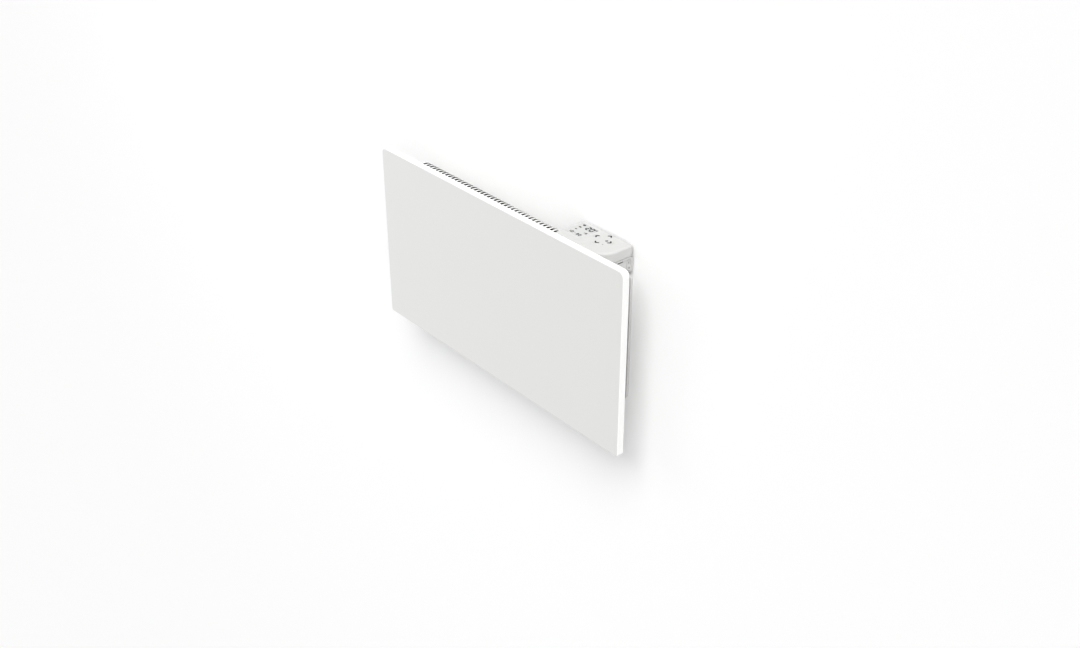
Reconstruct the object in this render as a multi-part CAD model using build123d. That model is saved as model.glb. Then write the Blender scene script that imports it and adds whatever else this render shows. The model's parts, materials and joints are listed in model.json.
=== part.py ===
from build123d import *
import math
import os

# Wall panel convector heater, in millimetres.
# +Z is up, +X is to the right seen from the room, and the front faces -Y.
# The origin lies on the wall plane, at the centre of the four wall screws.

# ---------------------------------------------------------------- driving dimensions
PANEL_WIDTH = 698.0
PANEL_HEIGHT = 370.0
OVERALL_DEPTH = 90.0
PANEL_BOTTOM = -180.0
PANEL_SHEET = 1.2
PANEL_TOP_CORNER = 11.0
PANEL_BOTTOM_CORNER = 5.0
PANEL_EDGE = 1.3
RIM_DEPTH = 14.2
RIM_RETURN = 3.0

CASING_WIDTH = 566.0
CASING_TOP = 177.0
CASING_BOTTOM = -167.0
CASING_BACK = -34.0
CASING_SHEET = 1.0
CASING_CORNER = 28.0
CASING_ROLL = 20.0
CASING_LIP = 8.0
RAIL_HEIGHT = 4.0

SLOT_WIDTH = 6.0
SLOT_PITCH = 10.0
TOP_SLOTS = 40
FIRST_SLOT_X = -252.0
TOP_SLOT_Y = (-72.0, -41.0)
INTAKE_SLOTS = 34
INTAKE_PITCH = 15.0
INTAKE_SLOT_Y = (-78.0, -56.0)

FRAME_WIDTH = 560.0
FRAME_HEIGHT = 260.0
FRAME_SHEET = 1.5
FRAME_LIP = 4.0
WALL_SCREW_X = 150.0
WALL_SCREW_Z = 114.0
WALL_SLOT_LENGTH = 14.0
WALL_SLOT_RADIUS = 3.0

ARM_X = 185.0
ARM_HALF_WIDTH = 18.0
ARM_BOTTOM = -126.0
ARM_TOP = 124.0
ARM_FRONT = -15.0
PIVOT_Y = -22.0
PIVOT_Z = -112.0
PIN_RADIUS = 4.0
HOOK_CLEARANCE = 0.1
CATCH_Z = 100.0
BLADE_THICKNESS = 2.0

CAP_LEFT = 157.0
CAP_RIGHT = 283.0
CAP_FRONT = -75.3
CAP_BACK = -4.0
CAP_TOP = 190.0
CAP_BOTTOM = 170.0
CAP_WALL = 2.0
CAP_EDGE = 4.2
CAP_INNER_EDGE = 1.2
HOUSING_LEFT = 205.0
HOUSING_RIGHT = 281.0
HOUSING_FRONT = -24.0
HOUSING_BACK = -2.0
HOUSING_BOTTOM = 138.0
HOUSING_WALL = 2.0
SKIRT_FRONT = -50.0
SENSOR_SLOT = (-38.0, -26.0, 161.8, 164.4)
SHELF_BOTTOM = 165.0
SHELF_TOP = 168.8
SHELF_INSET = 0.8

KEY_RING_X = 235.0
KEY_RING_Y = -30.0
KEY_RING_RADIUS = 16.8
KEY_RADIUS = 6.0
KEY_TRAVEL = 0.6
BOARD_BOTTOM = 180.4
BOARD_TOP = 182.0

SWITCH_Y = -12.0
SWITCH_Z = 151.6
SWITCH_LENGTH = 21.2
SWITCH_WIDTH = 9.2
ROCKER_PLAY = 0.25
SWITCH_BACK = 260.0
BLOCK_LEFT = 215.2
BLOCK_RIGHT = 235.8
BLOCK_BOTTOM = 143.0
ROCKER_PIVOT_X = 275.0
ROCKER_REST_ANGLE = 7.0

ELEMENT_Y = -59.0
ELEMENT_Z = -60.0
LEAD_RADIUS = 1.2
LEAD_X = 253.0
LEAD_Z = (151.0, 148.2, 145.4)

# ---------------------------------------------------------------- derived places
PANEL_TOP = PANEL_BOTTOM + PANEL_HEIGHT
FRONT_Y = -OVERALL_DEPTH
PANEL_INNER_Y = FRONT_Y + PANEL_SHEET
RIM_BACK_Y = FRONT_Y + RIM_DEPTH
FLANGE_FRONT = PANEL_INNER_Y + RAIL_HEIGHT
FLANGE_BACK = FLANGE_FRONT + CASING_SHEET
CASING_MID = (CASING_TOP + CASING_BOTTOM) / 2
CASING_HEIGHT = CASING_TOP - CASING_BOTTOM
CASING_INNER_BACK = CASING_BACK - CASING_SHEET
RAIL_Z = (CASING_TOP + CASING_LIP / 2, CASING_BOTTOM - CASING_LIP / 2)
SCREW_RADIUS = 1.6
RIVET_RADIUS = 1.9
HOLE_PLAY = 0.05
KEY_PLACES = {
    "key_left": (KEY_RING_X - KEY_RING_RADIUS, KEY_RING_Y),
    "key_right": (KEY_RING_X + KEY_RING_RADIUS, KEY_RING_Y),
    "key_up": (KEY_RING_X, KEY_RING_Y + KEY_RING_RADIUS),
    "key_down": (KEY_RING_X, KEY_RING_Y - KEY_RING_RADIUS),
}
CASING_SCREW_X = (-240.0, -80.0, 80.0, 240.0)

parts = {}


# ---------------------------------------------------------------- building helpers
def block(x0, x1, y0, y1, z0, z1):
    """A rectangular block between two corners."""
    centre = Pos((x0 + x1) / 2, (y0 + y1) / 2, (z0 + z1) / 2)
    return centre * Box(x1 - x0, y1 - y0, z1 - z0)


def upright_slab(width, height, corner, y0, y1, x=0.0, z=0.0):
    """A slab standing in the wall's plane, with rounded corners, from y0 back to y1."""
    sketch = Plane.XZ.offset(-y1) * Pos(x, z) * RectangleRounded(width, height, corner)
    return extrude(sketch, amount=y1 - y0)


def rod_x(radius, x0, x1, y, z):
    """A round bar along X."""
    return extrude(Plane.YZ.offset(x0) * Pos(y, z) * Circle(radius), amount=x1 - x0)


def rod_y(radius, y0, y1, x, z):
    """A round bar along Y."""
    return extrude(Plane.XZ.offset(-y1) * Pos(x, z) * Circle(radius), amount=y1 - y0)


def rod_z(radius, z0, z1, x, y):
    """A round bar along Z."""
    return extrude(Plane.XY.offset(z0) * Pos(x, y) * Circle(radius), amount=z1 - z0)


def side_profile(points, x0, x1):
    """A plate cut to a side view, given as (y, z) points, from x0 to x1."""
    outline = Polyline(*points, close=True)
    return extrude(Plane.YZ.offset(x0) * make_face(outline), amount=x1 - x0)


def fused(pieces):
    """Touching or overlapping solids joined into one."""
    result = pieces[0]
    for piece in pieces[1:]:
        result = result + piece
    return result


def corner_plan(x0, x1, y0, y1, radii):
    """A plan rectangle whose corners have their own radii, from (x0, y0) anticlockwise."""
    face = Pos((x0 + x1) / 2, (y0 + y1) / 2) * Rectangle(x1 - x0, y1 - y0)
    corners = ((x0, y0), (x1, y0), (x1, y1), (x0, y1))
    for (x, y), radius in zip(corners, radii):
        face = fillet(face.vertices().sort_by_distance((x, y, 0))[0], radius)
    return face


def pan_head_y(x, z, seat, tip, head_radius, head_height, shank=SCREW_RADIUS):
    """A screw or rivet along Y: its head sits on the plane y=seat, its shank ends at y=tip."""
    direction = 1.0 if seat > tip else -1.0
    head_end = seat + direction * head_height
    head = rod_y(head_radius, min(seat, head_end), max(seat, head_end), x, z)
    rim = head.edges().filter_by(GeomType.CIRCLE).sort_by(Axis.Y)
    head = chamfer(rim[-1] if direction > 0 else rim[0], head_height * 0.5)
    return head + rod_y(shank, min(seat, tip), max(seat, tip), x, z)


def add(name, solid):
    """Keep a finished piece under its node name."""
    parts[name] = solid


# ---------------------------------------------------------------- front panel
def panel_slab(inset, y0, y1):
    """The panel's outline drawn in by an inset, as a slab from y0 back to y1."""
    half = PANEL_WIDTH / 2 - inset
    low = PANEL_BOTTOM_CORNER - min(inset, PANEL_BOTTOM_CORNER - 0.6)
    high = PANEL_TOP_CORNER - inset
    outline = corner_plan(
        -half, half, PANEL_BOTTOM + inset, PANEL_TOP - inset, (low, low, high, high),
    )
    return extrude(Plane.XZ.offset(-y1) * outline, amount=y1 - y0)


def make_front_panel():
    """Flat sheet-steel front with a crisp edge, a deep rim and a narrow return edge."""
    outer = panel_slab(0, FRONT_Y, RIM_BACK_Y)
    outer = fillet(outer.faces().sort_by(Axis.Y)[0].edges(), PANEL_EDGE)
    hollow = panel_slab(PANEL_SHEET, PANEL_INNER_Y, RIM_BACK_Y - PANEL_SHEET)
    mouth = panel_slab(PANEL_SHEET + RIM_RETURN, RIM_BACK_Y - 2 * PANEL_SHEET, RIM_BACK_Y + 1)
    add("front_panel", outer - hollow - mouth)


def make_panel_rails():
    """Channels behind the panel's face that the casing is screwed to."""
    for name, z in (("panel_rail_top", RAIL_Z[0]), ("panel_rail_bottom", RAIL_Z[1])):
        half = 5.0
        rail = block(-275, 275, PANEL_INNER_Y, FLANGE_FRONT, z - half, z + half)
        rail -= block(-280, 280, PANEL_INNER_Y, FLANGE_FRONT - 1.0, z - half + 1, z + half - 1)
        for x in CASING_SCREW_X:
            rail -= rod_y(SCREW_RADIUS + HOLE_PLAY, FLANGE_FRONT - 2, FLANGE_FRONT + 1, x, z)
        add(name, rail)


# ---------------------------------------------------------------- back casing
def casing_envelope(growth):
    """The casing's outer form, grown by a clearance."""
    body = upright_slab(
        CASING_WIDTH + 2 * growth, CASING_HEIGHT + 2 * growth, CASING_CORNER + growth,
        FLANGE_FRONT, CASING_BACK + growth, 0, CASING_MID,
    )
    back_edges = body.faces().sort_by(Axis.Y)[-1].edges()
    return fillet(back_edges, CASING_ROLL + growth)


def vent_slots(count, first, pitch, y_range, z0, z1):
    """A row of round-ended slots running front to back."""
    length = y_range[1] - y_range[0]
    middle = (y_range[0] + y_range[1]) / 2
    places = [(first + pitch * i, middle) for i in range(count)]
    row = Sketch() + [Pos(x, y) * SlotOverall(length, SLOT_WIDTH, rotation=90) for x, y in places]
    return extrude(Plane.XY.offset(z0) * row, amount=z1 - z0)


def make_back_casing():
    """Shallow pressed pan with a rolled rear edge, outlet slots above and intake slots below."""
    outer = casing_envelope(0.0)
    inner = casing_envelope(-CASING_SHEET)
    inner += upright_slab(
        CASING_WIDTH - 2 * CASING_SHEET, CASING_HEIGHT - 2 * CASING_SHEET,
        CASING_CORNER - CASING_SHEET, FLANGE_FRONT - 1, FLANGE_FRONT + 1, 0, CASING_MID,
    )
    lip = upright_slab(
        CASING_WIDTH + 2 * CASING_LIP, CASING_HEIGHT + 2 * CASING_LIP,
        CASING_CORNER + CASING_LIP, FLANGE_FRONT, FLANGE_BACK, 0, CASING_MID,
    )
    casing = outer + lip - inner
    casing -= vent_slots(TOP_SLOTS, FIRST_SLOT_X, SLOT_PITCH, TOP_SLOT_Y, 150, 180)
    intake_first = -INTAKE_PITCH * (INTAKE_SLOTS - 1) / 2
    casing -= vent_slots(INTAKE_SLOTS, intake_first, INTAKE_PITCH, INTAKE_SLOT_Y, -170, -160)
    for z in RAIL_Z:
        for x in CASING_SCREW_X:
            hole = rod_y(SCREW_RADIUS + HOLE_PLAY, FLANGE_FRONT - 1, FLANGE_BACK + 1, x, z)
            casing -= hole
    for x, z in outer_rivet_places() + inner_rivet_places():
        casing -= rod_y(RIVET_RADIUS + HOLE_PLAY, CASING_BACK - 3, CASING_BACK + 2, x, z)
    casing -= rod_y(7.0, CASING_BACK - 3, CASING_BACK + 2, LEAD_X, LEAD_Z[1])
    for x, z in HOUSING_BOSSES:
        casing -= rod_y(SCREW_RADIUS + HOLE_PLAY, CASING_BACK - 3, CASING_BACK + 2, x, z)
    add("back_casing", casing)


def make_casing_screws():
    """Eight screws from behind through the casing's lip into the panel rails."""
    screws = []
    for z in RAIL_Z:
        for x in CASING_SCREW_X:
            screws.append(pan_head_y(x, z, FLANGE_BACK, FLANGE_FRONT - 2.0, 3.2, 1.8))
    add("casing_screws", Compound(children=screws))


# ---------------------------------------------------------------- heating element
def make_element():
    """Finned aluminium extrusion on a sheathed rod, carried by two brackets with soft bushes."""
    core = rod_x(6.0, -238, 238, ELEMENT_Y, ELEMENT_Z)
    wings = []
    for angle in (14, -14, 166, -166):
        wing = Plane.YZ.offset(-222) * Pos(ELEMENT_Y, ELEMENT_Z) * Rot(0, 0, angle)
        wings.append(extrude(wing * Pos(0, 21.5) * Rectangle(1.4, 35.0), amount=444))
    fins = fused([core] + wings)
    for i in range(21):
        x = -200 + 20 * i
        fins -= block(x - 1, x + 1, ELEMENT_Y - 14, ELEMENT_Y + 14, ELEMENT_Z + 12, ELEMENT_Z + 45)
        fins -= block(x - 1, x + 1, ELEMENT_Y - 14, ELEMENT_Y + 14, ELEMENT_Z - 45, ELEMENT_Z - 12)
    fins -= rod_x(4.06, -240, 240, ELEMENT_Y, ELEMENT_Z)
    add("heating_element_fins", fins)
    add("heating_rod", rod_x(4.0, -248, 248, ELEMENT_Y, ELEMENT_Z))
    beads = []
    studs = []
    for side in (-1, 1):
        x0, x1 = sorted((side * 248, side * 254))
        beads.append(rod_x(4.6, x0, x1, ELEMENT_Y, ELEMENT_Z) - rod_x(1.55, x0, x1, ELEMENT_Y, ELEMENT_Z))
        x0, x1 = sorted((side * 248, side * 260))
        stud = rod_x(1.5, x0, x1, ELEMENT_Y, ELEMENT_Z)
        x0, x1 = sorted((side * 255, side * 257))
        tag = block(x0, x1, ELEMENT_Y - 3, ELEMENT_Y + 3, ELEMENT_Z - 3, ELEMENT_Z + 5)
        studs.append(stud + tag)
    add("rod_insulators", Compound(children=beads))
    add("rod_terminals", Compound(children=studs))


ELEMENT_BRACKET_RIVETS = (-84.0, -36.0)
SHIELD_RIVET_X = (-200.0, 0.0, 200.0)
SHIELD_RIVET_Z = (-140.0, 66.0)


def make_element_brackets():
    """Angle plates riveted to the casing's back, and the bushes that hold the element in them."""
    bushes = []
    for side, name in ((-1, "element_bracket_left"), (1, "element_bracket_right")):
        x0, x1 = sorted((side * 231.5, side * 232.5))
        plate = side_profile(
            [(-75, -82), (-70, -92), (CASING_INNER_BACK, -92), (CASING_INNER_BACK, -28),
             (-70, -28), (-75, -38)], x0, x1,
        )
        foot_x = sorted((side * 232.5, side * 220.0))
        foot = block(foot_x[0], foot_x[1], CASING_INNER_BACK - 1, CASING_INNER_BACK, -92, -28)
        bracket = plate + foot
        bracket -= rod_x(8.6, x0 - 1, x1 + 1, ELEMENT_Y, ELEMENT_Z)
        for z in ELEMENT_BRACKET_RIVETS:
            bracket -= rod_y(RIVET_RADIUS + HOLE_PLAY, -38, -34, side * 225.5, z)
        add(name, bracket)
        bush = rod_x(8.5, side * 232 - 4, side * 232 + 4, ELEMENT_Y, ELEMENT_Z)
        bush += rod_x(11.0, side * 232 + 0.55, side * 232 + 2.5, ELEMENT_Y, ELEMENT_Z)
        bush += rod_x(11.0, side * 232 - 2.5, side * 232 - 0.55, ELEMENT_Y, ELEMENT_Z)
        bush -= rod_x(6.05, side * 232 - 5, side * 232 + 5, ELEMENT_Y, ELEMENT_Z)
        bushes.append(bush)
    add("element_bushes", Compound(children=bushes))


def make_heat_shield():
    """Sheet screen between the element and the casing's back, on two bent feet."""
    back = CASING_INNER_BACK
    shield = side_profile(
        [(back, -144), (back, -136), (-41.2, -130), (-41.2, 56), (back, 62), (back, 70),
         (back - 0.8, 70), (back - 0.8, 62.4), (-42, 56.4), (-42, -130.4), (back - 0.8, -136.4),
         (back - 0.8, -144)], -215, 215,
    )
    for x in SHIELD_RIVET_X:
        for z in SHIELD_RIVET_Z:
            shield -= rod_y(RIVET_RADIUS + HOLE_PLAY, -38, -33, x, z)
    for x in (-8.5, 8.5):
        shield -= rod_y(1.25, -45, -40, CUTOUT_X + x, CUTOUT_Z)
    add("heat_shield", shield)


def inner_rivet_places():
    """Rivets through the casing's back that hold the pieces inside it."""
    places = [(x, z) for x in SHIELD_RIVET_X for z in SHIELD_RIVET_Z]
    places += [(side * 225.5, z) for side in (-1, 1) for z in ELEMENT_BRACKET_RIVETS]
    return places


def make_inner_rivets():
    """Low rivets, headed inside, flush with the casing's back."""
    rivets = []
    for x in SHIELD_RIVET_X:
        for z in SHIELD_RIVET_Z:
            rivets.append(pan_head_y(x, z, CASING_INNER_BACK - 0.8, CASING_BACK, 3.2, 1.2, RIVET_RADIUS))
    for side in (-1, 1):
        for z in ELEMENT_BRACKET_RIVETS:
            seat = CASING_INNER_BACK - 1.0
            rivets.append(pan_head_y(side * 225.5, z, seat, CASING_BACK, 3.2, 1.2, RIVET_RADIUS))
    add("inner_rivets", Compound(children=rivets))


CUTOUT_X = 150.0
CUTOUT_Z = 30.0
CUTOUT_FRONT = -54.0


def make_overheat_cutout():
    """Disc thermostat on the shield, with a flat flange and two connector tabs."""
    flange = extrude(Plane.XZ.offset(42) * Pos(CUTOUT_X, CUTOUT_Z) * SlotOverall(24, 9), amount=1.0)
    body = rod_y(7.8, CUTOUT_FRONT, -43, CUTOUT_X, CUTOUT_Z)
    body = fillet(body.edges().filter_by(GeomType.CIRCLE).sort_by(Axis.Y)[0], 1.5)
    pins = [rod_y(1.2, -43, -41.2, CUTOUT_X + x, CUTOUT_Z) for x in (-8.5, 8.5)]
    tabs = [
        block(CUTOUT_X + 7, CUTOUT_X + 15, -50.4, -49.6, CUTOUT_Z - 3, CUTOUT_Z + 3),
        block(CUTOUT_X - 15, CUTOUT_X - 7, -50.4, -49.6, CUTOUT_Z - 3, CUTOUT_Z + 3),
    ]
    add("overheat_cutout", fused([flange, body] + pins + tabs))


SENSOR_Y = -68.0
SENSOR_X = 277.0


def make_room_sensor():
    """Bead probe in a moulded clip low on the casing's right wall, in the incoming air."""
    clip = block(SENSOR_X - 3.5, CASING_WIDTH / 2 - CASING_SHEET, SENSOR_Y - 7, SENSOR_Y + 7, -112, -104)
    clip -= rod_z(2.5, -115, -100, SENSOR_X, SENSOR_Y)
    add("sensor_clip", clip)
    probe = rod_z(2.45, -120, -96, SENSOR_X, SENSOR_Y)
    probe = fillet(probe.edges().filter_by(GeomType.CIRCLE).sort_by(Axis.Z)[0], 2.0)
    add("room_sensor", probe)


# ---------------------------------------------------------------- leads inside
def lead(name, points, radii):
    """An insulated wire of straight runs and tangent arcs."""
    route = FilletPolyline(*points, radius=radii)
    wire = route.wire() if hasattr(route, "wire") else route
    section = Plane(origin=route @ 0, z_dir=route % 0) * Circle(LEAD_RADIUS)
    tube = sweep(section, path=wire)
    expected = math.pi * LEAD_RADIUS ** 2 * wire.length
    print(f"{name}: length {wire.length:.0f} mm, volume ratio {tube.volume / expected:.4f}")
    add(name, tube)


def make_leads():
    """The four wires between the terminal block and the pieces in the casing."""
    top, middle, low = LEAD_Z
    lead("power_lead", [
        (BLOCK_RIGHT, -14, top), (LEAD_X, -14, top), (LEAD_X, -66, top),
        (256, -64, 110), (256, ELEMENT_Y, 0), (256, ELEMENT_Y, ELEMENT_Z + 5),
    ], [5, 14, 60, 60])
    lead("cutout_lead", [
        (BLOCK_RIGHT, -14, low), (LEAD_X, -14, low), (LEAD_X, -50, low),
        (238, -50, 95), (205, -50, CUTOUT_Z), (CUTOUT_X + 15, -50, CUTOUT_Z),
    ], [5, 14, 40, 18])
    lead("sensor_lead", [
        (BLOCK_RIGHT, -14, middle), (LEAD_X, -14, middle), (LEAD_X, -60, middle),
        (268, -66, 105), (SENSOR_X, SENSOR_Y, 70), (SENSOR_X, SENSOR_Y, -96),
    ], [5, 12, 30, 30])
    lead("return_lead", [
        (CUTOUT_X - 15, -50, CUTOUT_Z), (110, -50, CUTOUT_Z), (85, -48, 10), (-200, -48, 10),
        (-245, -54, -12), (-256, ELEMENT_Y, -34), (-256, ELEMENT_Y, ELEMENT_Z + 5),
    ], [15, 15, 30, 15, 12])


CLIP_X = (-150.0, -40.0, 60.0)


def make_lead_clips():
    """Moulded clips that hold the return wire to the shield."""
    clips = []
    for x in CLIP_X:
        clip = block(x - 3, x + 3, -50.5, -42, 6, 14)
        clips.append(clip - rod_x(LEAD_RADIUS + HOLE_PLAY, x - 4, x + 4, -48, 10))
    add("lead_clips", Compound(children=clips))


def make_lead_sleeve():
    """Flanged sleeve that leads the wires from the control housing into the casing."""
    y_in = CASING_BACK - 3.0
    y_out = HOUSING_FRONT + 4.0
    sleeve = rod_y(6.9, y_in, y_out, LEAD_X, LEAD_Z[1])
    sleeve += rod_y(7.9, y_in, CASING_INNER_BACK, LEAD_X, LEAD_Z[1])
    sleeve += rod_y(7.9, CASING_BACK, HOUSING_FRONT, LEAD_X, LEAD_Z[1])
    sleeve -= rod_y(4.6, y_in - 1, y_out + 1, LEAD_X, LEAD_Z[1])
    add("lead_sleeve", sleeve)


# ---------------------------------------------------------------- pivots and catches on the heater
PIVOT_RIVETS = ((-10.0, -102.5), (10.0, -102.5), (-10.0, -121.5), (10.0, -121.5))
BLADE_RIVETS = (-9.0, 9.0)


def outer_rivet_places():
    """Rivets through the casing's back that hold the pivot brackets and catch blades."""
    places = []
    for side in (-1, 1):
        for dx, z in PIVOT_RIVETS:
            places.append((side * ARM_X + dx, z))
        for dx in BLADE_RIVETS:
            places.append((side * ARM_X + dx, CATCH_Z))
    return places


def make_pivot_brackets():
    """Two forked brackets on the casing's back, each with the pin that hangs in a wall hook."""
    for side, end in ((-1, "left"), (1, "right")):
        x = side * ARM_X
        base = block(x - 26, x + 26, CASING_BACK, CASING_BACK + 1.5, -126, -98)
        ears = []
        for ear in (-1, 1):
            x0, x1 = sorted((x + ear * 24.5, x + ear * 26))
            plate = block(x0, x1, CASING_BACK + 1, PIVOT_Y, PIVOT_Z - 6.5, PIVOT_Z + 6.5)
            ears.append(plate + rod_x(6.5, x0, x1, PIVOT_Y, PIVOT_Z))
        bracket = fused([base] + ears)
        bracket -= rod_x(PIN_RADIUS + 0.02, x - 30, x + 30, PIVOT_Y, PIVOT_Z)
        for dx, z in PIVOT_RIVETS:
            bracket -= rod_y(RIVET_RADIUS + HOLE_PLAY, CASING_BACK - 1, CASING_BACK + 3, x + dx, z)
        add(f"pivot_bracket_{end}", bracket)
        pin = rod_x(PIN_RADIUS, x - 29, x + 26, PIVOT_Y, PIVOT_Z)
        pin += rod_x(PIN_RADIUS + 2, x + 26, x + 28.5, PIVOT_Y, PIVOT_Z)
        pin = chamfer(pin.edges().filter_by(GeomType.CIRCLE).sort_by(Axis.X)[0], 0.8)
        add(f"pivot_pin_{end}", pin)


def make_catch_blades():
    """Tongues on the casing's back that push between the spring leaves of the wall bracket."""
    for side, end in ((-1, "left"), (1, "right")):
        x = side * ARM_X
        half = BLADE_THICKNESS / 2
        base = block(x - 13, x + 13, CASING_BACK, CASING_BACK + 1.5, CATCH_Z - 12, CATCH_Z + 12)
        blade = side_profile(
            [(CASING_BACK + 1, CATCH_Z - 12), (-14, CATCH_Z - 12), (-8, CATCH_Z - 6),
             (-8, CATCH_Z + 6), (-14, CATCH_Z + 12), (CASING_BACK + 1, CATCH_Z + 12)],
            x - half, x + half,
        )
        tongue = base + blade
        for dx in BLADE_RIVETS:
            tongue -= rod_y(RIVET_RADIUS + HOLE_PLAY, CASING_BACK - 1, CASING_BACK + 3, x + dx, CATCH_Z)
        add(f"catch_blade_{end}", tongue)


def make_outer_rivets():
    """Domed rivets on the pivot brackets and the blades."""
    seat = CASING_BACK + 1.5
    rivets = []
    for x, z in outer_rivet_places():
        rivets.append(pan_head_y(x, z, seat, CASING_INNER_BACK, 3.4, 1.4, RIVET_RADIUS))
    add("outer_rivets", Compound(children=rivets))


# ---------------------------------------------------------------- wall bracket
ARM_RIVET_Z = (-85.0, 0.0, 60.0)


def make_wall_frame():
    """Pressed frame against the wall, with a stiffening lip, three windows and slotted screw holes."""
    frame = upright_slab(FRAME_WIDTH, FRAME_HEIGHT, 12, -FRAME_LIP, 0)
    frame = fillet(frame.faces().sort_by(Axis.Y)[0].edges(), 1.2)
    sheet = 2 * FRAME_SHEET
    frame -= upright_slab(
        FRAME_WIDTH - sheet, FRAME_HEIGHT - sheet, 12 - FRAME_SHEET, -FRAME_LIP - 1, -FRAME_SHEET,
    )
    frame -= upright_slab(300, 192, 15, -FRAME_LIP, 1)
    for side in (-1, 1):
        frame -= upright_slab(44, 192, 15, -FRAME_LIP, 1, side * 243)
        for z in (-WALL_SCREW_Z, WALL_SCREW_Z):
            slot = SlotOverall(WALL_SLOT_LENGTH, 2 * WALL_SLOT_RADIUS)
            place = Plane.XZ.offset(-1) * Pos(side * WALL_SCREW_X, z)
            frame -= extrude(place * slot, amount=FRAME_LIP)
        for z in ARM_RIVET_Z:
            frame -= rod_y(RIVET_RADIUS + HOLE_PLAY, -3, 1, side * ARM_X, z)
    add("wall_frame", frame)


def hook_plate(x0, x1):
    """One side of a bracket arm: upper lug, straight run and the open hook for the pivot pin."""
    seat = PIN_RADIUS + HOOK_CLEARANCE
    prong = 3.0
    front = PIVOT_Y - seat - prong
    plate = side_profile(
        [(-FRAME_SHEET, ARM_BOTTOM), (-25, ARM_BOTTOM), (front, PIVOT_Z - 10.8),
         (front, PIVOT_Z + 7), (front + prong, PIVOT_Z + 4.5), (front + prong, PIVOT_Z + 3),
         (PIVOT_Y + seat, PIVOT_Z + 3), (PIVOT_Y + seat, PIVOT_Z + 14), (ARM_FRONT, PIVOT_Z + 20),
         (ARM_FRONT, 66), (-31, 84), (-31, ARM_TOP - 5), (-26, ARM_TOP), (-FRAME_SHEET, ARM_TOP)],
        x0, x1,
    )
    plate -= rod_x(seat, x0 - 1, x1 + 1, PIVOT_Y, PIVOT_Z)
    plate -= block(x0 - 1, x1 + 1, PIVOT_Y - seat, PIVOT_Y + seat, PIVOT_Z, PIVOT_Z + 3.5)
    for z in (-60, -15, 30):
        plate -= rod_x(3.5, x0 - 1, x1 + 1, -8.5, z)
    return plate


def make_bracket_arms():
    """Two upright channels: a web riveted to the frame and two hooked side plates."""
    for side, end in ((-1, "left"), (1, "right")):
        x = side * ARM_X
        web = block(x - ARM_HALF_WIDTH, x + ARM_HALF_WIDTH, -3, -FRAME_SHEET, ARM_BOTTOM, ARM_TOP)
        plates = []
        for edge in (-1, 1):
            x0, x1 = sorted((x + edge * ARM_HALF_WIDTH, x + edge * (ARM_HALF_WIDTH - 1.5)))
            plates.append(hook_plate(x0, x1))
        arm = fused([web] + plates)
        for z in ARM_RIVET_Z + (CATCH_Z,):
            arm -= rod_y(RIVET_RADIUS + HOLE_PLAY, -4, 1, x, z)
        add(f"bracket_arm_{end}", arm)


def make_catch_springs():
    """Folded leaf springs whose two jaws grip the blade."""
    half = BLADE_THICKNESS / 2 + 0.05
    for side, end in ((-1, "left"), (1, "right")):
        x = side * ARM_X
        leaf = 0.8
        pieces = []
        for jaw in (-1, 1):
            inner = half
            points = [
                (x + jaw * 8.0, -3.0), (x + jaw * 8.0, -3.8), (x + jaw * (6.2 + leaf), -3.8),
                (x + jaw * (6.2 + leaf), -9.0), (x + jaw * (inner + leaf), -20.0),
                (x + jaw * (inner + leaf), -23.0), (x + jaw * 5.0, -28.0),
                (x + jaw * (5.0 - leaf), -28.0), (x + jaw * inner, -23.2), (x + jaw * inner, -19.8),
                (x + jaw * 6.2, -8.6), (x + jaw * 6.2, -3.8), (x, -3.8), (x, -3.0),
            ]
            face = make_face(Polyline(*points, close=True))
            pieces.append(extrude(Plane.XY.offset(CATCH_Z - 9) * face, amount=18))
        spring = fused(pieces)
        spring -= rod_y(RIVET_RADIUS + HOLE_PLAY, -5, -2, x, CATCH_Z)
        add(f"catch_spring_{end}", spring)


def make_rest_buffers():
    """Soft caps on the arms' upper lugs, where the heater's back leans."""
    buffers = []
    for side in (-1, 1):
        for edge in (-1, 1):
            x = side * ARM_X + edge * (ARM_HALF_WIDTH - 0.75)
            cap = block(x - 3, x + 3, CASING_BACK, -27, 90, 112)
            cap = fillet(cap.edges().filter_by(Axis.Z).sort_by(Axis.Y)[:2], 1.2)
            buffers.append(cap - block(x - 0.75, x + 0.75, -31, -26, 89, 113))
    add("rest_buffers", Compound(children=buffers))


def make_arm_rivets():
    """Rivets that join arms to frame and springs to arms, flush at the wall."""
    rivets = []
    for side in (-1, 1):
        for z in ARM_RIVET_Z:
            rivets.append(pan_head_y(side * ARM_X, z, -3.0, 0.0, 3.6, 1.4, RIVET_RADIUS))
        rivets.append(pan_head_y(side * ARM_X, CATCH_Z, -3.8, -FRAME_SHEET, 3.4, 1.2, RIVET_RADIUS))
    add("arm_rivets", Compound(children=rivets))


# ---------------------------------------------------------------- control unit
HOUSING_BOSSES = ((211.5, 151.0), (239.5, 151.0))
SHELF_SCREWS = ((165.5, -8.6), (275.6, -28.6), (275.6, -9.0))
BOARD_SCREWS = ((212.5, -54.0), (212.5, -10.0), (267.0, -50.0), (267.0, -10.0))
COVER_SCREWS = ((211.0, 143.2), (211.0, 161.0), (248.0, 161.0))
WINDOW = (163.0, 207.0, -57.0, -13.0)
LIGHT_PLACE = (248.7, -44.2)
GLAND_PLACE = (230.0, -13.0)
GLAND_BOTTOM = HOUSING_BOTTOM - 8.0
GLAND_TOP = HOUSING_BOTTOM + 4.6


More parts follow.
